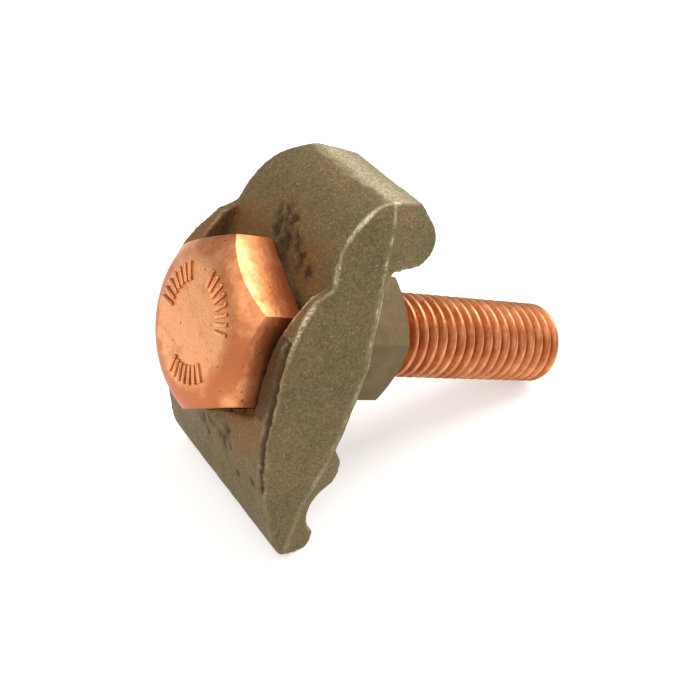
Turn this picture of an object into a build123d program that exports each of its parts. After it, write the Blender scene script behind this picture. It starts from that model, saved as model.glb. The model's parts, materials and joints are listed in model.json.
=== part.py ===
from build123d import *
import math
import os

# Earth rod clamp: a cast body with a nose and a grooved toe, a hexagon bolt
# held in its front pocket and a nut drawn up against its back.
# Each piece is drawn with the bolt along +X (the head on the -X side), the
# nose up along +Z and the width along Y. X = 0 is the seat under the bolt head.
# The whole clamp is then laid down on its toe and the end of the bolt.

# ---- bolt, mm
BOLT_R = 5.0
BOLT_LENGTH = 46.0
HEAD_FLATS = 17.4
HEAD_HEIGHT = 6.4
HEAD_TURN = 25.3  # first head corner, degrees from +Y
HEAD_BEVEL_R = 8.0  # round top face inside the head's bevel
HEAD_BEVEL_ANGLE = 38.0
END_BEVEL = 1.2

# ---- nut
NUT_FLATS = 14.0
NUT_HEIGHT = 8.4
NUT_TURN = 39.9
NUT_BEVEL_R = 6.6
NUT_BEVEL_ANGLE = 30.0
NUT_CLEARANCE = 0.06  # between the thread crests and the nut
NUT_COUNTERSINK = 0.7

# ---- cast body
SEAT_TO_BACK = 9.0  # metal between the bolt head's seat and the nut's seat
NUT_PAD_R = 8.6  # raised round pad the nut bears on
BACK_X = 7.3  # back face around the pad
HOLE_CLEARANCE = 0.5  # around the bolt
POCKET_CLEARANCE = 0.45  # beside the flats of the bolt head
POCKET_FLOOR = 0.9  # floor of the pocket, behind the seat
SEAT_PAD_R = 8.2  # round pad the head bears on
PARTING_X = 6.6  # plane where the two halves of the mould met
FRONT_DRAFT = 4.0  # degrees, from the parting plane to the front
BACK_DRAFT = 12.0  # degrees, from the parting plane to the back
TOP_Z = 18.9
TOE_Z = -21.7
NOSE_X = 14.1
GROOVE_R = 4.15  # conductor groove across the toe
GROOVE_Z = -15.5
GROOVE_FLOOR_X = 8.1
UPPER_LIP_X = 9.8
LOWER_LIP_X = 10.3
REST = (LOWER_LIP_X - 1.0, TOE_Z + 0.1)  # edge of the toe that meets the floor

# front of the casting, from the top down to the toe: (X, Z)
BROW = [
    (6.6, TOP_Z),
    (3.6, 17.5),
    (1.9, 15.6),
    (1.1, 13.6),
    (POCKET_FLOOR, 11.6),
]
EAR = [
    (POCKET_FLOOR, 11.6),
    (POCKET_FLOOR, 10.0),
    (-0.8, 8.7),
    (-2.0, 6.2),
    (-2.6, 3.8),
]
SHIELD = [
    (-2.6, 3.8),
    (-2.75, 0.5),
    (-2.4, -2.5),
    (-1.2, -8.8),
    (0.3, -12.2),
    (2.9, -17.0),
    (4.9, -20.3),
    (6.2, -21.4),
]
TOE = (7.4, TOE_Z)
# nose, from the top round to its underside: (X, Z)
NOSE = [
    (11.2, TOP_Z - 0.1),
    (12.8, 17.3),
    (13.8, 16.1),
    (NOSE_X, 14.9),
    (13.5, 13.6),
    (12.2, 12.8),
    (10.2, 12.5),
]
# half-width of the casting at the parting plane, from the top down: (Y, Z)
SIDE = [
    (7.2, TOP_Z + 1.0),
    (7.3, TOP_Z),
    (8.3, 17.2),
    (9.2, 14.4),
    (10.1, 11.4),
    (11.6, 6.2),
    (12.6, 2.8),
    (12.9, -1.5),
    (12.9, -8.8),
    (12.3, -13.0),
    (12.1, -17.0),
    (12.3, TOE_Z + 1.0),
    (12.0, TOE_Z - 1.0),
]


def to_3d(points):
    """Points of the XZ profile as 3-D points."""
    return [(x, 0.0, z) for x, z in points]


def hexagon(flats, turn, start, end):
    """Hexagonal prism about the bolt axis between two X positions."""
    plane = Plane(origin=(start, 0, 0), x_dir=(0, 1, 0), z_dir=(1, 0, 0))
    outline = RegularPolygon(flats / 2, 6, major_radius=False, rotation=turn)
    # a corner of the polygon is brought to the angle `turn` from +Y
    first = min(math.degrees(math.atan2(v.Y, v.X)) % 60.0 for v in outline.vertices())
    outline = outline.rotate(Axis.Z, turn % 60.0 - first)
    return extrude(plane * outline, end - start)


def rod(radius, start, end):
    """Round rod on the bolt axis between two X positions."""
    plane = Plane(origin=(start, 0, 0), x_dir=(0, 1, 0), z_dir=(1, 0, 0))
    return extrude(plane * Circle(radius), end - start)


def bevel_cone(flat_r, angle, face_x, outward, length):
    """Solid that keeps what lies inside the bevel of a hexagon's outer face."""
    step = length / math.tan(math.radians(angle))
    base_x = face_x - outward * 20.0
    profile = [
        (face_x, 0, 0),
        (face_x, 0, flat_r),
        (face_x - outward * length, 0, flat_r + step),
        (base_x, 0, flat_r + step),
        (base_x, 0, 0),
    ]
    face = make_face(Polyline(*profile, close=True))
    return revolve(face, Axis.X, 360)


def bolt():
    """Hexagon bolt: bevelled head and a plain shank at thread diameter."""
    head = hexagon(HEAD_FLATS, HEAD_TURN, -HEAD_HEIGHT, 0.0)
    head &= bevel_cone(HEAD_BEVEL_R, HEAD_BEVEL_ANGLE, -HEAD_HEIGHT, -1.0, 2.5)
    shank = rod(BOLT_R, -1.0, BOLT_LENGTH)
    shank = chamfer(shank.edges().sort_by(Axis.X)[-1], END_BEVEL)
    return head + shank


def nut():
    """Hexagon nut, bevelled on its outer face and countersunk at both ends."""
    start, end = SEAT_TO_BACK, SEAT_TO_BACK + NUT_HEIGHT
    bore_r = BOLT_R + NUT_CLEARANCE
    body = hexagon(NUT_FLATS, NUT_TURN, start, end)
    body &= bevel_cone(NUT_BEVEL_R, NUT_BEVEL_ANGLE, end, 1.0, 2.7)
    body -= rod(bore_r, start - 1, end + 1)
    mouth = body.edges().filter_by(GeomType.CIRCLE)
    mouth = mouth.filter_by(lambda e: abs(e.radius - bore_r) < 0.01)
    return chamfer(mouth, NUT_COUNTERSINK)


def side_profile():
    """Profile of the casting seen from the side, as a face in the XZ plane."""
    lip_top = GROOVE_Z + GROOVE_R + 1.0
    back = [
        NOSE[-1],
        (BACK_X + 0.8, NOSE[-1][1] - 0.3),
        (BACK_X, NOSE[-1][1] - 1.4),
        (BACK_X, -7.2),
        (UPPER_LIP_X - 0.7, lip_top + 1.3),
        (UPPER_LIP_X, lip_top - 0.4),
        (UPPER_LIP_X, GROOVE_Z),
        (LOWER_LIP_X, GROOVE_Z),
        (LOWER_LIP_X, TOE_Z + 0.7),
        REST,
        TOE,
        SHIELD[-1],
    ]
    lines = Polyline(*to_3d([BROW[0], NOSE[0], NOSE[1]])).edges()
    lines += Spline(*to_3d(NOSE[1:]), tangents=[(0.7, 0, -0.7), (-1, 0, -0.1)]).edges()
    lines += Polyline(*to_3d(back)).edges()
    lines += Spline(*to_3d(SHIELD)).edges()
    lines += Polyline(*to_3d(EAR)).edges()
    lines += Spline(*to_3d(BROW)).edges()
    return make_face(lines)


def outline(x, narrowing):
    """Front-view outline at one X position, narrowed on each side."""
    right = [(y - narrowing, z) for y, z in SIDE]
    left = [(-y, z) for y, z in right]
    edges = Spline(*right).edges() + Spline(*left).edges()
    edges += [Line(right[0], left[0]), Line(right[-1], left[-1])]
    plane = Plane(origin=(x, 0, 0), x_dir=(0, 1, 0), z_dir=(1, 0, 0))
    return plane * make_face(edges)


def side_walls():
    """Side walls with draft both ways from the parting plane."""
    parting = outline(PARTING_X, 0.0)
    halves = []
    for end_x, draft in ((-4.0, FRONT_DRAFT), (NOSE_X + 1.0, BACK_DRAFT)):
        narrowing = abs(end_x - PARTING_X) * math.tan(math.radians(draft))
        halves.append(loft([parting, outline(end_x, narrowing)], ruled=True))
    return halves[0] + halves[1]


def head_pocket():
    """Pocket for the bolt head: hexagonal below, open at the top."""
    flats = HEAD_FLATS + 2 * POCKET_CLEARANCE
    floor = POCKET_FLOOR
    lower = hexagon(flats, 30.0, floor - 10, floor)
    upper = Pos(floor - 5, 0, 10) * Box(10, flats, 20)
    return lower + upper


def conductor_groove():
    """Round groove across the toe for the conductor."""
    centre = (GROOVE_FLOOR_X + GROOVE_R, 0, GROOVE_Z)
    return Pos(*centre) * Rot(90, 0, 0) * Cylinder(GROOVE_R, 40)


def casting():
    """The cast body."""
    width = 2 * max(y for y, z in SIDE) + 4
    body = extrude(side_profile(), width / 2, dir=(0, 1, 0), both=True)
    body &= side_walls()
    body -= head_pocket()
    body += rod(SEAT_PAD_R, 0.0, POCKET_FLOOR + 1.0)
    body += rod(NUT_PAD_R, BACK_X - 1.0, SEAT_TO_BACK)
    body -= conductor_groove()
    return body - rod(BOLT_R + HOLE_CLEARANCE, -10, 20)


def lay_down(pieces):
    """Lay the clamp on its toe and bolt end, centred over the origin."""
    tip = (BOLT_LENGTH - END_BEVEL, -BOLT_R)
    tilt = math.degrees(math.atan2(tip[1] - REST[1], tip[0] - REST[0]))
    turned = {name: Rot(0, tilt, 0) * piece for name, piece in pieces.items()}
    boxes = [piece.bounding_box() for piece in turned.values()]
    back = min(box.min.X for box in boxes)
    front = max(box.max.X for box in boxes)
    low = min(box.min.Z for box in boxes)
    drop = Pos(-(back + front) / 2, 0, -low)
    return {name: drop * piece for name, piece in turned.items()}


def main():
    """Build the pieces, lay them down and write a STEP file for each."""
    pieces = {
        "clamp_body": casting(),
        "hexagon_bolt": bolt(),
        "hexagon_nut": nut(),
    }
    os.makedirs("parts", exist_ok=True)
    for name, piece in lay_down(pieces).items():
        export_step(piece, os.path.join("parts", name + ".step"))


if __name__ == "__main__":
    main()
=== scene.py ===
"""Earth rod clamp: a nosed cast body, a copper-coloured bolt and a bronze nut."""

import json
import logging
import math
from dataclasses import dataclass, field
from typing import Any, Iterable, Sequence

import bpy
import numpy as np
from mathutils import Matrix, Vector, noise

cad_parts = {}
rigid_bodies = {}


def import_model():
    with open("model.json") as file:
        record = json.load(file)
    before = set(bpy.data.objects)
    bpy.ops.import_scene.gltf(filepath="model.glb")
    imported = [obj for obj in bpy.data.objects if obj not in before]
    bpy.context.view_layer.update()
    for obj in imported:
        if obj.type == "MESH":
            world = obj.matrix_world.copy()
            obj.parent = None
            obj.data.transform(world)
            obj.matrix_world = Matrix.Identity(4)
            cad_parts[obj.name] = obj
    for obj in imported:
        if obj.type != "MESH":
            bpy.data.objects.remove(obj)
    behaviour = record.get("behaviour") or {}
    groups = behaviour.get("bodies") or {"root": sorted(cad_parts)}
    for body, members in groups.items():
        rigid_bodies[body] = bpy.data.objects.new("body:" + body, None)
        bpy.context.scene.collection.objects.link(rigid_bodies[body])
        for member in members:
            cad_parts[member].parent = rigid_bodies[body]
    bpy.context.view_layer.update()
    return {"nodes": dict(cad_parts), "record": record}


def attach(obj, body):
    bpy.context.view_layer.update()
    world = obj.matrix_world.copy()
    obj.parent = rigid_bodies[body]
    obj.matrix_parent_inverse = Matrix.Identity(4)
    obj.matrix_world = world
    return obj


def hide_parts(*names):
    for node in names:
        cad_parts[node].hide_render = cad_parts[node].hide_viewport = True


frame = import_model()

LOG = logging.getLogger("clamp")
MM = 0.001
ALONG_X = (0.0, math.pi / 2, 0.0)
ROUND_SIDES = 128
SCREW_MERGE = 0.001
DOUBLES = 0.0005
TINY = 1e-6
SHADE_ANGLE = 32.0
WHITE = (1, 1, 1, 1)

# sizes that two pieces share, in millimetres and degrees
BOLT_END_AT = 31.1
HEAD_FLATS = 17.4
HEAD_TURN = 25.3


# --------------------------------------------------------------------------
# placing: pieces are drawn in millimetres with the bolt along +X and the seat
# under its head at X = 0, then moved to where the clamp lies
# --------------------------------------------------------------------------


@dataclass(frozen=True)
class Lay:
    """Where the bolt's axis lies in the row frame.

    Args:
        seat: centre of the seat under the bolt head, metres.
        axis: direction of the bolt from its head to its end.
    """

    seat: Vector
    axis: Vector

    @classmethod
    def from_record(cls, record: dict[str, Any], bolt_middle: float) -> "Lay":
        """Read the bolt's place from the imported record.

        Args:
            record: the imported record.
            bolt_middle: distance of the bolt_end mount from the seat, mm.

        Returns:
            The lay of the bolt.
        """
        mount = next(m for m in record["mounts"] if m["name"] == "bolt_end")
        axis = Vector(mount["axis"]).normalized()
        seat = Vector(mount["pos_m"]) - axis * bolt_middle * MM
        return cls(seat, axis)

    def matrix(self) -> Matrix:
        """Matrix from the pieces' millimetres to the row frame's metres."""
        side = Vector((0, 1, 0))
        up = self.axis.cross(side)
        turn = Matrix((self.axis, side, up)).transposed().to_4x4()
        return Matrix.Translation(self.seat) @ turn @ Matrix.Scale(MM, 4)


class Bench:
    """Blender's modelling operators, one small step each."""

    @staticmethod
    def clear() -> None:
        """Deselect everything."""
        for obj in bpy.context.view_layer.objects:
            obj.select_set(False)

    @classmethod
    def pick(cls, obj: bpy.types.Object) -> None:
        """Make one object the only selected and active one."""
        cls.clear()
        obj.select_set(True)
        bpy.context.view_layer.objects.active = obj

    @classmethod
    def take(cls, name: str) -> bpy.types.Object:
        """Name the primitive just added and settle its turn and place.

        Args:
            name: name of the new object.

        Returns:
            The object, with its place in its mesh.
        """
        obj = bpy.context.object
        obj.name = name
        obj.data.name = name
        cls.pick(obj)
        bpy.ops.object.transform_apply(location=True, rotation=True, scale=True)
        return obj

    @classmethod
    def hexagon(
        cls, name: str, flats: float, turn: float, start: float, end: float
    ) -> bpy.types.Object:
        """Hexagonal prism on the bolt's axis.

        Args:
            name: name of the new object.
            flats: width across the flats.
            turn: its turn about the axis, degrees.
            start: first position on the axis.
            end: last position on the axis.

        Returns:
            The new object.
        """
        cls.clear()
        bpy.ops.mesh.primitive_cylinder_add(
            vertices=6, radius=flats / math.sqrt(3), depth=end - start, rotation=ALONG_X
        )
        obj = cls.take(name)
        obj.data.transform(Matrix.Translation(((start + end) / 2, 0, 0)))
        obj.data.transform(Matrix.Rotation(math.radians(turn), 4, "X"))
        return obj

    @classmethod
    def cone(
        cls, name: str, start: float, start_r: float, end: float, end_r: float
    ) -> bpy.types.Object:
        """Frustum on the bolt's axis between two positions and radii."""
        cls.clear()
        bpy.ops.mesh.primitive_cone_add(
            vertices=ROUND_SIDES, radius1=start_r, radius2=end_r, depth=end - start,
            rotation=ALONG_X,
        )
        obj = cls.take(name)
        obj.data.transform(Matrix.Translation(((start + end) / 2, 0, 0)))
        return obj

    @classmethod
    def chain(cls, name: str, points: Sequence[tuple[float, float]]) -> bpy.types.Object:
        """A line of edges drawn point by point.

        Args:
            name: name of the new object.
            points: (position along X, radius) of each point.

        Returns:
            The new object, in the XZ plane.
        """
        cls.clear()
        bpy.ops.mesh.primitive_plane_add(size=1)
        obj = cls.take(name)
        cls.edit(obj)
        bpy.ops.mesh.merge(type="CENTER")
        bpy.ops.transform.translate(value=(points[0][0], 0, points[0][1]))
        for (x0, r0), (x1, r1) in zip(points, points[1:]):
            bpy.ops.mesh.extrude_region_move(
                TRANSFORM_OT_translate={"value": (x1 - x0, 0, r1 - r0)}
            )
        cls.leave()
        return obj

    @classmethod
    def lathe(cls, name: str, points: Sequence[tuple[float, float]]) -> bpy.types.Object:
        """Turn a line of (position along X, radius) points about the bolt's axis."""
        obj = cls.chain(name, points)
        cls.apply(
            obj, "SCREW", axis="X", angle=math.tau, screw_offset=0.0, iterations=1,
            steps=ROUND_SIDES, render_steps=ROUND_SIDES,
            use_merge_vertices=True, merge_threshold=SCREW_MERGE,
        )
        cls.outward(obj)
        return obj

    @classmethod
    def boolean(
        cls, obj: bpy.types.Object, tool: bpy.types.Object, operation: str
    ) -> None:
        """Cut, keep or join with a tool object, which is then removed."""
        mod = obj.modifiers.new("cut", "BOOLEAN")
        mod.operation = operation
        mod.object = tool
        mod.solver = "EXACT"
        cls.pick(obj)
        bpy.ops.object.modifier_apply(modifier=mod.name)
        bpy.data.objects.remove(tool)

    @classmethod
    def apply(cls, obj: bpy.types.Object, kind: str, **settings: Any) -> None:
        """Add a modifier with these settings and apply it."""
        mod = obj.modifiers.new(kind.lower(), kind)
        for key, value in settings.items():
            setattr(mod, key, value)
        cls.pick(obj)
        bpy.ops.object.modifier_apply(modifier=mod.name)

    @classmethod
    def soften(
        cls, obj: bpy.types.Object, width: float, segments: int, degrees: float
    ) -> None:
        """Round every edge that is sharper than an angle."""
        cls.apply(
            obj, "BEVEL", width=width, segments=segments, limit_method="ANGLE",
            angle_limit=math.radians(degrees),
        )

    @classmethod
    def edit(cls, obj: bpy.types.Object) -> None:
        """Enter edit mode with all of the mesh selected."""
        cls.pick(obj)
        bpy.ops.object.mode_set(mode="EDIT")
        bpy.ops.mesh.select_mode(type="VERT")
        bpy.ops.mesh.select_all(action="SELECT")

    @staticmethod
    def leave() -> None:
        """Leave edit mode."""
        bpy.ops.object.mode_set(mode="OBJECT")

    @classmethod
    def outward(cls, obj: bpy.types.Object) -> None:
        """Merge doubles and turn every face outwards."""
        cls.edit(obj)
        bpy.ops.mesh.remove_doubles(threshold=DOUBLES)
        bpy.ops.mesh.normals_make_consistent(inside=False)
        cls.leave()

    @classmethod
    def saw(cls, obj: bpy.types.Object, x: float, keep_below: bool) -> None:
        """Saw the piece square across the bolt's axis and close the cut."""
        cls.edit(obj)
        bpy.ops.mesh.bisect(
            plane_co=(x, 0, 0), plane_no=(1, 0, 0), use_fill=True,
            clear_outer=keep_below, clear_inner=not keep_below,
        )
        cls.leave()

    @classmethod
    def join(
        cls, obj: bpy.types.Object, others: Iterable[bpy.types.Object]
    ) -> bpy.types.Object:
        """Join other objects into the first."""
        cls.pick(obj)
        for other in others:
            other.select_set(True)
        bpy.context.view_layer.objects.active = obj
        bpy.ops.object.join()
        return obj

    @classmethod
    def smooth(cls, obj: bpy.types.Object) -> None:
        """Shade smooth, with the sharp edges kept."""
        cls.pick(obj)
        bpy.ops.object.shade_smooth_by_angle(angle=math.radians(SHADE_ANGLE))


class Skin:
    """A mesh's vertices as arrays, for hand shaping."""

    def __init__(self, obj: bpy.types.Object) -> None:
        """Read the vertices, normals and edges of a mesh."""
        self.mesh = obj.data
        count = len(self.mesh.vertices)
        self.co = np.empty(count * 3)
        self.mesh.vertices.foreach_get("co", self.co)
        self.co = self.co.reshape(-1, 3)
        self.normal = np.empty(count * 3)
        self.mesh.vertex_normals.foreach_get("vector", self.normal)
        self.normal = self.normal.reshape(-1, 3)
        edges = np.empty(len(self.mesh.edges) * 2, dtype=np.int64)
        self.mesh.edges.foreach_get("vertices", edges)
        self.edges = edges.reshape(-1, 2)
        self.degree = np.maximum(np.bincount(edges, minlength=count), 1)

    def neighbours(self, values: np.ndarray) -> np.ndarray:
        """Mean of a value over each vertex's neighbours."""
        first, second = self.edges.T
        total = np.zeros_like(values)
        np.add.at(total, first, values[second])
        np.add.at(total, second, values[first])
        degree = self.degree if values.ndim == 1 else self.degree[:, None]
        return total / degree

    def crests(self, passes: int) -> np.ndarray:
        """Signed bend of the surface: over 0 on edges, under 0 in hollows."""
        bend = ((self.co - self.neighbours(self.co)) * self.normal).sum(axis=1)
        for _ in range(passes):
            bend = (bend + self.neighbours(bend)) / 2
        return bend

    def push(self, amount: np.ndarray) -> None:
        """Move each vertex along its normal by an amount in mm."""
        self.co += self.normal * amount[:, None]

    def write(self) -> None:
        """Put the shaped vertices back into the mesh."""
        self.mesh.vertices.foreach_set("co", self.co.ravel())
        self.mesh.update()

    def keep(self, name: str, values: np.ndarray) -> None:
        """Store one number a vertex as an attribute for the finish."""
        store = self.mesh.attributes.new(name, "FLOAT", "POINT")
        store.data.foreach_set("value", np.clip(values, 0, 1).astype(np.float32))


def to_line(points: np.ndarray, line: Sequence[Sequence[float]]) -> np.ndarray:
    """Distance of points from a broken line.

    Args:
        points: one point a row.
        line: the line's points, with as many coordinates.

    Returns:
        The distance of each point.
    """
    best = np.full(len(points), 1e9)
    for start, end in zip(np.array(line[:-1], float), np.array(line[1:], float)):
        run = end - start
        share = np.clip((points - start) @ run / (run @ run), 0, 1)
        best = np.minimum(best, np.linalg.norm(points - start - share[:, None] * run, axis=1))
    return best


def rise(values: np.ndarray, low: float, width: float) -> np.ndarray:
    """0 up to a value and 1 beyond its width, with a straight rise between."""
    return np.clip((values - low) / width, 0, 1)


def hump(away: np.ndarray, width: float) -> np.ndarray:
    """1 at no distance, falling away over a width."""
    return np.exp(-((away / width) ** 2))


@dataclass(frozen=True)
class Waver:
    """Smooth noise over a surface.

    Args:
        size: size of its features, mm.
        seed: which part of the noise it takes.
        height: its greatest value.
    """

    size: float
    seed: float
    height: float = 1.0

    def over(self, points: np.ndarray) -> np.ndarray:
        """Value at each point, from -height to height."""
        shift = Vector((self.seed, self.seed * 1.7, -self.seed))
        values = [noise.noise(Vector(p) / self.size + shift) for p in points]
        return np.array(values) * self.height


# --------------------------------------------------------------------------
# finishes
# --------------------------------------------------------------------------


class Value:
    """A shader socket that takes part in sums."""

    def __init__(self, graph: "Graph", socket: bpy.types.NodeSocket) -> None:
        """Wrap an output socket of a graph."""
        self.graph = graph
        self.socket = socket

    def _maths(self, operation: str, *values: Any) -> "Value":
        """Add a Math node."""
        inputs = dict(enumerate(values))
        return self.graph.node("ShaderNodeMath", {"operation": operation}, inputs)

    def __add__(self, other: Any) -> "Value":
        """Sum."""
        return self._maths("ADD", self, other)

    __radd__ = __add__

    def __mul__(self, other: Any) -> "Value":
        """Product."""
        return self._maths("MULTIPLY", self, other)

    def __sub__(self, other: Any) -> "Value":
        """Difference."""
        return self._maths("SUBTRACT", self, other)

    def __rsub__(self, other: Any) -> "Value":
        """Difference from a number."""
        return self._maths("SUBTRACT", other, self)

    def ramp(self, low: float, high: float) -> "Value":
        """0 below low, 1 above high and a smooth rise between."""
        settings = {"interpolation_type": "SMOOTHSTEP"}
        inputs = {"Value": self, "From Min": low, "From Max": high}
        return self.graph.node("ShaderNodeMapRange", settings, inputs)


class Graph:
    """The node tree of one material or world."""

    def __init__(self, owner: bpy.types.Material | bpy.types.World) -> None:
        """Start an empty tree in its owner."""
        self.owner = owner
        owner.use_nodes = True
        self.tree = owner.node_tree
        self.tree.nodes.clear()

    def node(
        self, kind: str, settings: dict[str, Any] | None = None,
        inputs: dict[Any, Any] | None = None, out: int | str = 0,
    ) -> Value | None:
        """Add a node.

        Args:
            kind: the node's type.
            settings: its own settings, set first.
            inputs: values or links of its sockets, by name or number.
            out: the output wanted.

        Returns:
            That output, or nothing where the node has none.
        """
        node = self.tree.nodes.new(kind)
        for key, value in (settings or {}).items():
            setattr(node, key, value)
        for key, value in (inputs or {}).items():
            if isinstance(value, Value):
                self.tree.links.new(value.socket, node.inputs[key])
            else:
                node.inputs[key].default_value = value
        return Value(self, node.outputs[out]) if len(node.outputs) else None

    def place(self) -> Value:
        """Object coordinates in millimetres."""
        where = self.node("ShaderNodeTexCoord", out="Object")
        scale = (1 / MM,) * 3
        return self.node("ShaderNodeMapping", None, {"Vector": where, "Scale": scale})

    def noise(self, where: Value, size: float, detail: float, roughness: float) -> Value:
        """Noise with features of a size in mm."""
        inputs = {"Vector": where, "Scale": 1 / size, "Detail": detail, "Roughness": roughness}
        return self.node("ShaderNodeTexNoise", None, inputs)

    def spots(self, where: Value, size: float) -> Value:
        """Distance from the nearest of a scatter of spots, in cells of a size in mm."""
        return self.node("ShaderNodeTexVoronoi", None, {"Vector": where, "Scale": 1 / size})

    def mark(self, name: str) -> Value:
        """A number kept on the mesh."""
        return self.node("ShaderNodeAttribute", {"attribute_name": name}, None, "Fac")

    def mix(self, share: Any, first: Any, second: Any) -> Value:
        """Colour between two colours."""
        settings = {"data_type": "RGBA"}
        inputs = {0: share, 6: first, 7: second}
        return self.node("ShaderNodeMix", settings, inputs, out=2)

    def bump(self, height: Value, depth: float, strength: float) -> Value:
        """Bump of a depth in mm."""
        inputs = {"Height": height, "Distance": depth * MM, "Strength": strength}
        return self.node("ShaderNodeBump", None, inputs)

    def surface(self, **sockets: Any) -> bpy.types.Material:
        """Close the graph with a Principled surface.

        Args:
            sockets: its sockets, with underscores for spaces.

        Returns:
            The material.
        """
        inputs = {key.replace("_", " "): value for key, value in sockets.items()}
        shader = self.node("ShaderNodeBsdfPrincipled", None, inputs)
        self.node("ShaderNodeOutputMaterial", None, {"Surface": shader})
        return self.owner


Colour = tuple[float, float, float, float]


@dataclass(frozen=True)
class CastFinish:
    """Sand-cast gunmetal: grainy, with patina in patches, rubbed edges with painted highlight,
    a painted sheen on the flat top, a reddish ring round the bolt head and painted shade in
    its cracks, pits and hollows and beside the head.
    """

    name: str = "cast_gunmetal"
    brown: Colour = (0.262, 0.176, 0.072, 1)
    olive: Colour = (0.202, 0.162, 0.064, 1)
    # dark grains, and the painted shade in cracks, pits, hollows and beside the bolt head
    hollow: Colour = (0.048, 0.026, 0.008, 1)
    # rubbed metal on grit, edges and seam; also the painted highlight on the upper front rim
    # and the painted sheen on the flat top
    rubbed: Colour = (0.78, 0.67, 0.45, 1)
    # reddish brown of the ring round the bolt head and of the painted shade on the strip
    # beside it
    ring_and_shade: Colour = (0.250, 0.110, 0.028, 1)
    grain_shade: float = 0.55
    ring_and_shade_cover: float = 0.75
    grit_shine: float = 0.38
    hollow_shade: float = 0.85
    metallic: float = 0.45
    roughness: float = 0.60
    depth: float = 0.16

    def material(self) -> bpy.types.Material:
        """Build the finish."""
        graph = Graph(bpy.data.materials.new(self.name))
        where = graph.place()
        grain = graph.noise(where, size=0.32, detail=4.0, roughness=0.6)
        patch = graph.noise(where, size=4.5, detail=3.0, roughness=0.55)
        grit = graph.noise(where, size=0.16, detail=1.0, roughness=0.5)
        edge = graph.mark("edge")
        painted_shade = graph.mark("painted_shade")
        ring_and_shade = graph.mark("ring_and_shade")
        base = graph.mix(patch.ramp(0.35, 0.65), self.brown, self.olive)
        grains = (grain - 0.5) * 1.5 + 0.5
        base = graph.mix(grains.ramp(0.25, 0.8) * self.grain_shade, base, self.hollow)
        # reddish ring round the bolt head, and painted shade on the strip beside it
        base = graph.mix(ring_and_shade * self.ring_and_shade_cover, base, self.ring_and_shade)
        base = graph.mix(grit.ramp(0.60, 0.74) * self.grit_shine, base, self.rubbed)
        # rubbed edges and seam, with painted highlight along the upper front rim and a painted
        # sheen on the flat top
        rub_and_highlight = edge * grain.ramp(0.30, 0.62)
        base = graph.mix(rub_and_highlight, base, self.rubbed)
        # painted shade in cracks, pits, hollows and beside the bolt head
        base = graph.mix(painted_shade * self.hollow_shade, base, self.hollow)
        height = grain * 0.7 + grit * 0.3
        return graph.surface(
            Base_Color=base,
            Metallic=self.metallic,
            Roughness=self.roughness - rub_and_highlight * 0.22 + patch * 0.08,
            Normal=graph.bump(height, self.depth, strength=0.8),
        )


@dataclass(frozen=True)
class CopperFinish:
    """Copper-coloured bolt: satin, a little stained, with painted shade in its thread roots,
    at the foot of its ticks and on the head's flanks towards the seat.
    """

    name: str = "copper_bolt"
    bright: Colour = (0.86, 0.38, 0.17, 1)
    # duller, redder copper; also the colour of the painted shade on the head's flanks towards
    # the seat
    dull: Colour = (0.62, 0.20, 0.075, 1)
    # dark flecks, and the painted shade in thread roots and at the foot of the ticks
    dark: Colour = (0.18, 0.045, 0.015, 1)
    dulling_and_shade_cover: float = 0.75
    root_shade: float = 0.8
    metallic: float = 0.92
    roughness: float = 0.17
    depth: float = 0.05

    def material(self) -> bpy.types.Material:
        """Build the finish."""
        graph = Graph(bpy.data.materials.new(self.name))
        where = graph.place()
        cloud = graph.noise(where, size=2.4, detail=5.0, roughness=0.65)
        fine = graph.noise(where, size=0.4, detail=3.0, roughness=0.6)
        fleck = graph.spots(where, 1.3)
        painted_shade = graph.mark("painted_shade")
        dulling_and_shade = graph.mark("dulling_and_shade")
        # random dulling of the copper, plus painted shade on the head's flanks towards the
        # seat
        tone_and_shade = (cloud - 0.5) * 2.4 + dulling_and_shade * self.dulling_and_shade_cover
        base = graph.mix(tone_and_shade.ramp(-0.05, 0.75), self.bright, self.dull)
        spot = (1 - fleck.ramp(0.06, 0.18)) * fine.ramp(0.48, 0.6)
        base = graph.mix(spot, base, self.dark)
        # painted shade in the thread roots and at the foot of the ticks
        base = graph.mix(painted_shade * self.root_shade, base, self.dark)
        return graph.surface(
            Base_Color=base,
            Metallic=self.metallic,
            Roughness=self.roughness + cloud * 0.12 + painted_shade * 0.15 + dulling_and_shade * 0.24,
            Normal=graph.bump(fine + cloud * 2.0, self.depth, strength=0.6),
        )


@dataclass(frozen=True)
class NutFinish:
    """Bronze nut: smooth, dull and a little tarnished."""

    name: str = "bronze_nut"
    clean: Colour = (0.215, 0.145, 0.062, 1)
    dull: Colour = (0.165, 0.118, 0.055, 1)
    rubbed: Colour = (0.62, 0.52, 0.34, 1)
    fleck_shine: float = 0.4
    metallic: float = 0.6
    roughness: float = 0.52
    depth: float = 0.04

    def material(self) -> bpy.types.Material:
        """Build the finish."""
        graph = Graph(bpy.data.materials.new(self.name))
        where = graph.place()
        cloud = graph.noise(where, size=2.4, detail=4.0, roughness=0.6)
        fine = graph.noise(where, size=0.3, detail=3.0, roughness=0.6)
        base = graph.mix(cloud.ramp(0.35, 0.65), self.clean, self.dull)
        base = graph.mix(fine.ramp(0.62, 0.75) * self.fleck_shine, base, self.rubbed)
        return graph.surface(
            Base_Color=base,
            Metallic=self.metallic,
            Roughness=self.roughness + fine * 0.15,
            Normal=graph.bump(fine, self.depth, strength=0.6),
        )


# --------------------------------------------------------------------------
# the clamp's pieces
# --------------------------------------------------------------------------


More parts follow.
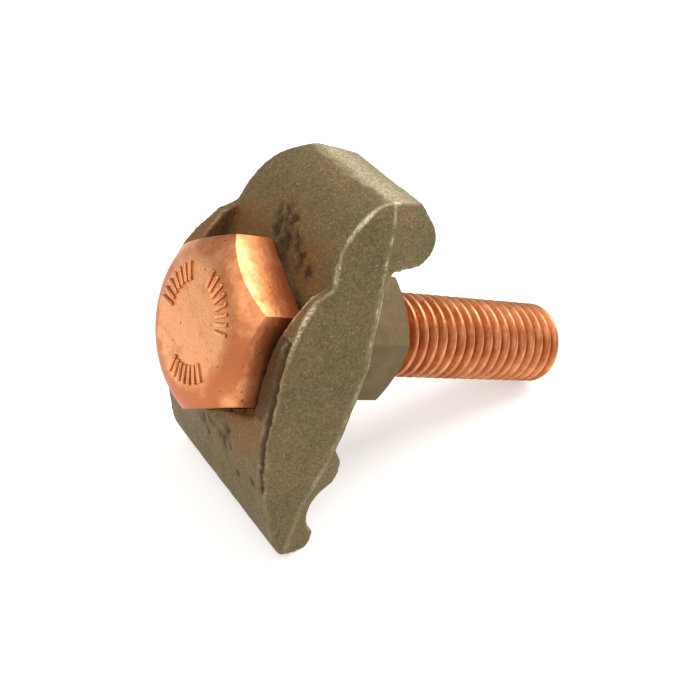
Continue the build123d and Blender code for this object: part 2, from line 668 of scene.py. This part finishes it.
@dataclass(frozen=True)
class Thread:
    """The screw thread that the bolt and the nut share, sizes in mm."""

    pitch: float = 1.5
    crest_r: float = 5.0
    root_r: float = 4.1
    steps: int = 72

    def profile(self, wider: float) -> list[tuple[float, float]]:
        """One pitch of the rolled profile as (along, radius)."""
        depth = self.crest_r - self.root_r
        shape = (
            (0.0, 0.0), (0.07, 0.03), (0.13, 0.16), (0.30, 0.84), (0.36, 0.96),
            (0.43, 1.0), (0.57, 1.0), (0.64, 0.96), (0.70, 0.84), (0.87, 0.16),
            (0.93, 0.03), (1.0, 0.0),
        )
        return [(a * self.pitch, self.root_r + wider + r * depth) for a, r in shape]

    def rod(self, name: str, start: float, end: float, wider: float = 0.0) -> bpy.types.Object:
        """A threaded rod between two positions on the bolt's axis.

        Args:
            name: name of the new object.
            start: first position, a whole number of pitches from the seat.
            end: last position.
            wider: what is added to the thread's radius.

        Returns:
            The rod, closed at both ends.
        """
        turns = math.ceil((end - start) / self.pitch) + 3
        first = start - self.pitch
        points = [(first + x, r) for x, r in self.profile(wider)]
        obj = Bench.chain(name, points)
        Bench.apply(
            obj, "SCREW", axis="X", angle=math.tau, screw_offset=self.pitch,
            iterations=turns, steps=self.steps, render_steps=self.steps,
            use_merge_vertices=True, merge_threshold=SCREW_MERGE,
        )
        Bench.outward(obj)
        Bench.saw(obj, start, keep_below=False)
        Bench.saw(obj, end, keep_below=True)
        Bench.outward(obj)
        return obj


@dataclass
class Bolt:
    """Hexagon bolt with its threaded shank, sizes in mm and degrees.

    Args:
        height: height of the head.
        dome: (depth from the face, radius) of the head's bevel.
        length: length under the head.
        end_bevel: how far the bolt's end is turned down.
        edge: width of the head's softened edges, over edge_angle.
        tick_groups: (middle angle, number) of each group of ticks.
        rim_from: radius where the face starts to darken, over rim_width.
        face_x: position that parts the head's face from its flanks.
        root_shade: painted shade in the thread's root.
    """

    height: float = 6.4
    dome: tuple[tuple[float, float], ...] = (
        (0.0, 5.6), (0.06, 6.6), (0.22, 7.4), (0.50, 8.1), (0.92, 8.75), (1.45, 9.4),
        (2.1, 10.1), (3.2, 11.2),
    )
    length: float = 46.0
    end_bevel: float = 1.2
    edge: float = 0.32
    edge_angle: float = 26.0
    tick_groups: tuple[tuple[float, int], ...] = ((24.0, 7), (128.0, 8), (250.0, 7))
    tick_step: float = 9.5
    tick_size: tuple[float, float, float] = (0.50, 2.1, 0.48)
    tick_edge: float = 0.15
    tick_r: float = 5.4
    tick_lift: float = 0.01
    rim_from: float = 5.8
    rim_width: float = 1.6
    rim_high: float = 3.0
    face_x: float = -5.0
    root_shade: float = 0.8
    shank_tarnish: float = 0.6
    thread: Thread = field(default_factory=Thread)

    def head(self) -> bpy.types.Object:
        """Forged head: hexagon, bevelled face and softened edges."""
        head = Bench.hexagon("head", HEAD_FLATS, HEAD_TURN, -self.height, 0.0)
        line = [(-self.height, 0.0)] + [(x - self.height, r) for x, r in self.dome]
        line += [(1.0, self.dome[-1][1]), (1.0, 0.0)]
        Bench.boolean(head, Bench.lathe("dome", line), "INTERSECT")
        Bench.soften(head, self.edge, 4, self.edge_angle)
        skin = Skin(head)
        skin.keep("painted_shade", np.zeros(len(skin.co)))
        x, y, z = skin.co.T
        # face darker towards its rim, half as much on its upper part; flanks darker towards
        # the seat as painted shade of the casting
        rim = rise(np.hypot(y, z), self.rim_from, self.rim_width)
        rim *= np.where(z > self.rim_high, 0.5, 1.0)
        skin.keep("dulling_and_shade", np.where(x < self.face_x, rim, np.clip(1.1 + x / 8, 0.5, 1)))
        return head

    def ticks(self) -> list[bpy.types.Object]:
        """Plain raised radial ticks in groups round the face."""
        made = []
        for middle, count in self.tick_groups:
            for step in range(count):
                made.append(self.tick(middle + (step - (count - 1) / 2) * self.tick_step))
        return made

    def tick(self, angle: float) -> bpy.types.Object:
        """One raised tick at an angle round the face."""
        Bench.clear()
        bpy.ops.mesh.primitive_cube_add(size=1)
        tick = Bench.take("tick")
        tick.data.transform(Matrix.Diagonal((*self.tick_size, 1)))
        Bench.apply(tick, "BEVEL", width=self.tick_edge, segments=3, limit_method="NONE")
        skin = Skin(tick)
        # painted shade at the foot of the tick, none on its top
        skin.keep("painted_shade", (skin.co[:, 0] + 0.16) * 5)
        place = (-self.height - self.tick_lift, self.tick_r, 0)
        tick.data.transform(Matrix.Translation(place))
        tick.data.transform(Matrix.Rotation(math.radians(angle), 4, "X"))
        return tick

    def shank(self) -> bpy.types.Object:
        """Threaded shank with its end turned down."""
        thread = self.thread
        shank = thread.rod("shank", -thread.pitch, self.length)
        skin = Skin(shank)
        radius = np.hypot(skin.co[:, 1], skin.co[:, 2])
        left = self.length - skin.co[:, 0]
        limit = thread.crest_r - np.clip(self.end_bevel - left, 0, None)
        scale = np.minimum(1.0, limit / np.maximum(radius, TINY))
        skin.co[:, 1:] *= scale[:, None]
        skin.write()
        # painted shade in the thread's roots
        depth = 1 - (radius - thread.root_r) / (thread.crest_r - thread.root_r)
        skin.keep("painted_shade", np.where(skin.co[:, 0] > 0, depth, 0) ** 2 * self.root_shade)
        skin.keep("dulling_and_shade", np.full(len(radius), self.shank_tarnish))
        return shank

    def build(self) -> bpy.types.Object:
        """The whole bolt as one piece."""
        bolt = Bench.join(self.head(), self.ticks() + [self.shank()])
        bolt.name = "bolt"
        Bench.smooth(bolt)
        return bolt


@dataclass
class Nut:
    """Hexagon nut, sizes in mm and degrees.

    Args:
        start: position of its inner face.
        face_r: radius of the flat of its outer face.
        face_slope: slope of the bevel round it.
        clearance: what its thread is wider than the bolt's.
        mouth: depth of the countersinks.
    """

    flats: float = 14.0
    start: float = 9.0
    height: float = 8.4
    turn: float = 39.9
    face_r: float = 6.6
    face_slope: float = 30.0
    clearance: float = 0.10
    mouth: float = 0.8
    mouth_run: float = 0.5
    edge: float = 0.22
    edge_angle: float = 20.0
    thread: Thread = field(default_factory=Thread)

    def build(self) -> bpy.types.Object:
        """Hexagon, bevelled outer face, countersunk mouths and the thread inside."""
        end = self.start + self.height
        nut = Bench.hexagon("nut", self.flats, self.turn, self.start, end)
        slope = 1 / math.tan(math.radians(self.face_slope))
        wide_r = self.face_r + (self.height + 1.0) * slope
        cone = Bench.cone("cone", self.start - 1.0, wide_r, end, self.face_r)
        Bench.boolean(nut, cone, "INTERSECT")
        Bench.soften(nut, self.edge, 3, self.edge_angle)
        wide = self.thread.crest_r + self.mouth
        narrow = self.thread.crest_r - self.mouth_run
        mouths = (
            (self.start - self.mouth_run, wide, self.start + self.mouth, narrow),
            (end - self.mouth, narrow, end + self.mouth_run, wide),
        )
        for mouth in mouths:
            Bench.boolean(nut, Bench.cone("mouth", *mouth), "DIFFERENCE")
        pitch = self.thread.pitch
        tap = self.thread.rod("tap", self.start - pitch, end + pitch, self.clearance)
        Bench.boolean(nut, tap, "DIFFERENCE")
        Bench.smooth(nut)
        return nut


@dataclass
class CastBody:
    """The cast body, shaped over its solid; sizes in mm.

    Args:
        cell: size of the skin's cells.
        shut_x: where the metal closes up to the bolt head.
        shut_to: end of the metal that closes up.
        shut_below: height under which it closes up.
        shut_band: its distances from the head's flats, nearest and farthest.
        shut_free: distance from the flats that stays as it is.
        seam_x: position of the parting line.
        crack: points of the crack beside the front face.
        pits: (Y, Z, size, depth) of each pit in the front.
        swell: large unevenness of the casting.
        sand: small unevenness of the casting.
        brow: (X, Y) limits of the front rim whose edges are brightest: rubbed, with painted
            highlight.
        top_z: height over which the upward-facing flat top gets a painted sheen.
        ring_r: radius of the reddish-brown ring round the bolt head, over ring_width.
        strip: limits of the strip beside the head that gets painted shade: X, Y, Z, Z and
            radius.
    """

    node: str = "clamp_body"
    cell: float = 0.21
    shut_x: float = -1.3
    shut_to: float = 1.2
    shut_below: float = -4.4
    shut_band: tuple[float, float] = (0.05, 1.3)
    shut_free: float = 0.15
    grow_passes: int = 6
    ease_passes: int = 30
    seam_x: float = 6.6
    seam_width: float = 0.22
    seam_height: float = 0.10
    crack_half: float = 0.16
    crack_edge: float = 0.22
    crack_depth: float = 0.46
    pit_squash: float = 0.75
    brow: tuple[float, float] = (7.5, -4.0)
    brow_wear_and_highlight: float = 2.8
    edge_bend: tuple[float, float] = (0.006, 0.022)
    hollow_bend: tuple[float, float] = (0.004, 0.02)
    top_z: float = 17.5
    top_run: float = 5.2
    painted_top_sheen: float = 0.7
    seam_shine: float = 0.5
    seam_rub: float = 0.30
    ring_r: float = 11.0
    ring_width: float = 3.8
    strip: tuple[float, float, float, float, float] = (1.5, -7.5, -5.0, 4.5, 11.8)
    strip_shade_tint: float = 0.8
    strip_shade: float = 0.75
    hollow_shade: float = 0.7
    swell: Waver = Waver(2.6, 3.0, 0.07)
    sand: Waver = Waver(0.9, 8.0, 0.035)
    seam_waver: Waver = Waver(1.2, 5.0)
    crack_waver: Waver = Waver(0.8, 71.0, 0.30)
    crack_patches: Waver = Waver(1.0, 21.0)
    pit_waver_y: Waver = Waver(0.7, 41.0, 0.55)
    pit_waver_z: Waver = Waver(0.7, 47.0, 0.55)
    seam_patches: Waver = Waver(0.9, 12.0)
    rub_patches: Waver = Waver(2.4, 61.0)
    ring_patches: Waver = Waver(2.2, 31.0)
    crack: tuple[tuple[float, float, float], ...] = (
        (-2.6, -10.7, 4.2), (-2.75, -11.1, 2.2), (-2.75, -11.5, 0.4), (-2.5, -11.7, -1.5),
        (-2.2, -11.8, -4.0), (-1.9, -11.85, -6.0), (-1.3, -11.9, -8.2),
        (-0.6, -11.9, -10.2), (0.9, -11.5, -13.2),
    )
    pits: tuple[tuple[float, float, float, float], ...] = (
        (-0.1, -11.9, 0.34, 0.30), (-1.3, -11.4, 0.40, 0.30), (-4.5, -10.2, 0.45, 0.35),
        (-3.7, -11.4, 0.30, 0.25), (-3.4, -12.6, 0.45, 0.30), (-2.6, -12.0, 0.26, 0.2),
        (-9.3, -13.3, 0.35, 0.22), (1.7, -12.7, 0.40, 0.25), (3.1, -12.0, 0.30, 0.22),
        (-4.9, -12.0, 0.24, 0.2), (-5.8, -15.0, 0.3, 0.18), (0.8, -13.9, 0.24, 0.18),
        (-0.3, 10.3, 0.80, 0.60), (1.6, 11.6, 0.46, 0.34), (1.9, 10.4, 0.42, 0.34),
        (-0.2, 12.7, 0.44, 0.30), (0.2, 12.0, 0.40, 0.30), (1.2, 13.3, 0.44, 0.28),
        (2.4, 12.4, 0.34, 0.22), (0.9, 12.3, 0.30, 0.22), (-1.5, 11.6, 0.34, 0.22),
        (-3.6, 9.9, 0.60, 0.35), (-2.4, 10.9, 0.40, 0.22), (-5.4, 9.4, 0.45, 0.25),
    )

    def rounded(self, lay: Matrix) -> bpy.types.Object:
        """Skin over the solid with all its edges softened as cast."""
        body = frame["nodes"][self.node].copy()
        body.data = body.data.copy()
        body.data.materials.clear()
        body.modifiers.clear()
        body.parent = None
        body.matrix_world = Matrix.Identity(4)
        bpy.context.collection.objects.link(body)
        body.name = "cast_body"
        body.data.name = "cast_body"
        body.data.transform(lay.inverted())
        Bench.outward(body)
        Bench.apply(body, "REMESH", mode="VOXEL", voxel_size=self.cell, use_smooth_shade=True)
        Bench.apply(body, "SMOOTH", factor=0.5, iterations=3)
        return body

    def sculpt(self, body: bpy.types.Object) -> np.ndarray:
        """Seam, crack, pits and the unevenness of the sand.

        Args:
            body: the rounded skin.

        Returns:
            How far into a crack or pit each vertex lies, for the painted shade there.
        """
        skin = Skin(body)
        x, y, z = skin.co.T
        side = np.abs(skin.normal[:, 1])
        front = np.clip(-skin.normal[:, 0] * 3, 0, 1)
        push = self.swell.over(skin.co) + self.sand.over(skin.co)
        seam = hump(x - self.seam_x, self.seam_width) * (side > 0.75)
        push += seam * self.seam_height * (0.6 + self.seam_waver.over(skin.co))
        ragged = skin.co + self.crack_waver.over(skin.co)[:, None]
        away = np.maximum(to_line(ragged, self.crack) - self.crack_half, 0)
        crack = hump(away, self.crack_edge)
        crack *= 0.6 + 0.9 * np.clip(self.crack_patches.over(skin.co) + 0.4, 0, 1)
        push -= crack * self.crack_depth
        # painted shade in the crack
        painted_shade = crack * 1.5
        warp_y = y + self.pit_waver_y.over(skin.co)
        warp_z = z + self.pit_waver_z.over(skin.co)
        for pit_y, pit_z, size, depth in self.pits:
            away = np.hypot(warp_y - pit_y, (warp_z - pit_z) * self.pit_squash)
            pit = hump(away, size) * front
            push -= pit * depth
            # painted shade in the pit
            painted_shade = np.maximum(painted_shade, np.sqrt(pit) * 1.1)
        skin.push(push)
        self.close_in(skin)
        skin.write()
        return painted_shade

    def close_in(self, skin: Skin) -> None:
        """Close the metal up under the lower flats of the bolt head."""
        x, y, z = skin.co.T
        across = np.zeros(len(x))
        for corner in range(6):
            angle = math.radians(HEAD_TURN + 30 + 60 * corner)
            across = np.maximum(across, y * math.cos(angle) + z * math.sin(angle))
        flat = HEAD_FLATS / 2
        near, far = self.shut_band
        inside = (across > flat + near) & (across < flat + far)
        low = inside & (z < self.shut_below) & (x < self.shut_to) & (x > self.shut_x)
        x[low] = self.shut_x
        worked = low.astype(float)
        for _ in range(self.grow_passes):
            worked = np.maximum(worked, np.clip(skin.neighbours(worked) * 3, 0, 1))
        worked *= across > flat + self.shut_free
        for _ in range(self.ease_passes):
            skin.co += (skin.neighbours(skin.co) - skin.co) * 0.6 * worked[:, None]

    def marks(self, body: bpy.types.Object, painted_shade: np.ndarray) -> None:
        """Keep what the finish needs: rubbed edges with painted highlight, a painted sheen on
        the flat top, the reddish ring round the head and painted shade in hollows and beside
        the head.

        Args:
            body: the sculpted skin.
            painted_shade: how far into a crack or pit each vertex lies, for the painted shade
                there.
        """
        skin = Skin(body)
        facing_x, facing_y, facing_z = skin.normal.T
        x, y, z = skin.co.T
        bend = skin.crests(3)
        # rubbed crests with painted highlight: brightest on the upper front rim and the near
        # side, fading downwards
        nose = (z > 5) & (y > 4)
        near = np.where(nose, 0.9, np.maximum(rise(-y, 2.0, 4.0), 0.25))
        brow = (x < self.brow[0]) & (y < self.brow[1])
        fade = np.maximum(rise(z, 1.0, 6.0), 0.12)
        edge = rise(bend, *self.edge_bend) * near
        edge *= np.where(brow, self.brow_wear_and_highlight * fade, 0.5)
        edge *= np.clip(0.75 + self.rub_patches.over(skin.co) * 1.3, 0.15, 1)
        # painted sheen on the upward-facing flat top
        flat = np.clip((facing_z - 0.93) * 20, 0, 1) * (z > self.top_z)
        top = flat * np.clip(1.25 - (x - self.seam_x) / self.top_run, 0, 1)
        seam = hump(x - self.seam_x, self.seam_rub) * (np.abs(facing_y) > 0.7)
        seam *= np.clip(0.5 + self.seam_patches.over(skin.co), 0, 1)
        rubbed = [edge, top * self.painted_top_sheen, seam * self.seam_shine]
        skin.keep("edge", np.maximum.reduce(rubbed))
        # reddish-brown ring round the bolt head
        reach = np.hypot(y, z)
        ring = hump(reach - self.ring_r, self.ring_width) * (facing_x < -0.2)
        # painted shade on the strip beside the head, on its near side
        strip_x, strip_y, low, high, strip_r = self.strip
        strip = (x < strip_x) & (y < strip_y) & (z > low) & (z < high) & (reach < strip_r)
        ring_tone = ring * (0.8 + 0.9 * self.ring_patches.over(skin.co))
        skin.keep("ring_and_shade", ring_tone + strip * self.strip_shade_tint)
        # painted shade in concave hollows, added to that in cracks, pits and the strip
        hollow = rise(-bend, *self.hollow_bend)
        sunk = [painted_shade, hollow * self.hollow_shade, strip * self.strip_shade]
        skin.keep("painted_shade", np.maximum.reduce(sunk))

    def build(self, lay: Matrix) -> bpy.types.Object:
        """The finished cast body, in the pieces' millimetres."""
        body = self.rounded(lay)
        self.marks(body, self.sculpt(body))
        Bench.pick(body)
        bpy.ops.object.shade_smooth()
        return body


@dataclass(frozen=True)
class Lamp:
    """Square lamp that looks at the clamp, sizes in metres."""

    name: str
    place: tuple[float, float, float]
    size: float
    power: float
    colour: tuple[float, float, float]
    aim: tuple[float, float, float] = (0.0, 0.0, 0.015)

    def light(self) -> None:
        """Put the lamp in the scene."""
        data = bpy.data.lights.new(self.name, "AREA")
        data.size = self.size
        data.energy = self.power
        data.color = self.colour
        lamp = bpy.data.objects.new(self.name, data)
        lamp.location = self.place
        look = Vector(self.aim) - Vector(self.place)
        lamp.rotation_euler = look.to_track_quat("-Z", "Y").to_euler()
        bpy.context.collection.objects.link(lamp)


@dataclass(frozen=True)
class Floor:
    """Pale floor that shows white and keeps the clamp's shadow.

    Args:
        size: its side, metres.
        drop: how far under the clamp it lies, metres.
        seen: glow added where the camera sees it.
        mirrored: glow added where a surface mirrors it.
        fade: distances where it starts and ends turning plain white, mm.
    """

    size: float = 4.0
    drop: float = 0.00002
    pale: Colour = (0.88, 0.87, 0.86, 1)
    glow: Colour = (1, 0.99, 0.98, 1)
    seen: float = 0.48
    mirrored: float = 0.26
    fade: tuple[float, float] = (110.0, 260.0)

    def material(self) -> bpy.types.Material:
        """Build the finish."""
        graph = Graph(bpy.data.materials.new("pale_floor"))
        ray = graph.node("ShaderNodeLightPath", out="Is Camera Ray")
        gloss = graph.node("ShaderNodeLightPath", out="Is Glossy Ray")
        shader = graph.node("ShaderNodeBsdfDiffuse", None, {"Color": self.pale})
        strength = ray * self.seen + gloss * self.mirrored
        glow = graph.node(
            "ShaderNodeEmission", None, {"Color": self.glow, "Strength": strength}
        )
        near = graph.node("ShaderNodeAddShader", None, {0: shader, 1: glow})
        far = graph.node("ShaderNodeEmission", None, {"Color": WHITE, "Strength": 1.0})
        settings = {"operation": "LENGTH"}
        reach = graph.node("ShaderNodeVectorMath", settings, {0: graph.place()}, "Value")
        share = reach.ramp(*self.fade) * (ray + gloss)
        both = graph.node("ShaderNodeMixShader", None, {0: share, 1: near, 2: far})
        graph.node("ShaderNodeOutputMaterial", None, {"Surface": both})
        return graph.owner

    def lay(self) -> None:
        """Put the floor in the scene."""
        Bench.clear()
        bpy.ops.mesh.primitive_plane_add(size=self.size)
        floor = Bench.take("floor")
        floor.data.transform(Matrix.Translation((0, 0, -self.drop)))
        floor.data.materials.append(self.material())


@dataclass(frozen=True)
class Camera:
    """Camera at the product's viewing angle, in the pieces' millimetres."""

    sensor: float = 36.0
    lens: float = 62.47
    nearest: float = 0.005
    right: tuple[float, float, float] = (0.76762, -0.53044, 0.35978)
    down: tuple[float, float, float] = (0.03500, -0.52600, -0.85000)
    ahead: tuple[float, float, float] = (0.64000, 0.66500, -0.38500)
    place: tuple[float, float, float] = (-73.27, -92.47, 51.16)

    def stand(self, lay: Matrix) -> None:
        """Put the camera in the scene."""
        data = bpy.data.cameras.new("camera")
        data.sensor_width = self.sensor
        data.lens = self.lens
        data.clip_start = self.nearest
        camera = bpy.data.objects.new("camera", data)
        sides = (Vector(self.right), -Vector(self.down), -Vector(self.ahead))
        turn = Matrix(sides).transposed().to_4x4()
        own = Matrix.Translation(Vector(self.place)) @ turn
        where, spin, _ = (lay @ own).decompose()
        camera.matrix_world = Matrix.Translation(where) @ spin.to_matrix().to_4x4()
        bpy.context.collection.objects.link(camera)
        bpy.context.scene.camera = camera


@dataclass(frozen=True)
class Stage:
    """Floor, room, lamps and camera."""

    room: Colour = (1, 0.99, 0.97, 1)
    room_level: float = 0.46
    lamps: tuple[Lamp, ...] = (
        Lamp("key", (0.44, 0.02, 0.42), 0.40, 2.8, (1, 0.98, 0.95)),
        Lamp("left", (-0.42, -0.02, 0.62), 1.10, 3.5, (1, 0.99, 0.98)),
    )

    def world(self) -> None:
        """White all round: plain to the camera, dimmer as light."""
        world = bpy.data.worlds.new("studio")
        graph = Graph(world)
        ray = graph.node("ShaderNodeLightPath", out="Is Camera Ray")
        inputs = {"Color": self.room, "Strength": self.room_level}
        room = graph.node("ShaderNodeBackground", None, inputs)
        seen = graph.node("ShaderNodeBackground", None, {"Color": WHITE, "Strength": 1.0})
        both = graph.node("ShaderNodeMixShader", None, {0: ray, 1: room, 2: seen})
        graph.node("ShaderNodeOutputWorld", None, {"Surface": both})
        bpy.context.scene.world = world

    def build(self, lay: Matrix) -> None:
        """Set the whole stage."""
        Floor().lay()
        self.world()
        for lamp in self.lamps:
            lamp.light()
        Camera().stand(lay)
        bpy.context.scene.view_settings.view_transform = "Standard"


class Clamp:
    """The whole clamp."""

    def __init__(self) -> None:
        """Read where the clamp lies."""
        self.lay = Lay.from_record(frame["record"], BOLT_END_AT).matrix()

    def seat(self, piece: bpy.types.Object, node: str, body: str, finish: Any) -> None:
        """Lay a piece down, dress it, tie it to its body and hide its node."""
        piece.data.transform(self.lay)
        piece.data.update()
        piece.data.materials.clear()
        piece.data.materials.append(finish.material())
        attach(piece, body)
        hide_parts(node)
        LOG.info("%s: %d faces", piece.name, len(piece.data.polygons))

    def build(self) -> None:
        """Build the three pieces and set the stage."""
        self.seat(CastBody().build(self.lay), "clamp_body", "clamp", CastFinish())
        self.seat(Bolt().build(), "hexagon_bolt", "clamp", CopperFinish())
        self.seat(Nut().build(), "hexagon_nut", "nut", NutFinish())
        Stage().build(self.lay)


def main() -> None:
    """Build the clamp."""
    logging.basicConfig(level=logging.INFO, format="%(message)s")
    Clamp().build()


if __name__ == "__main__":
    main()
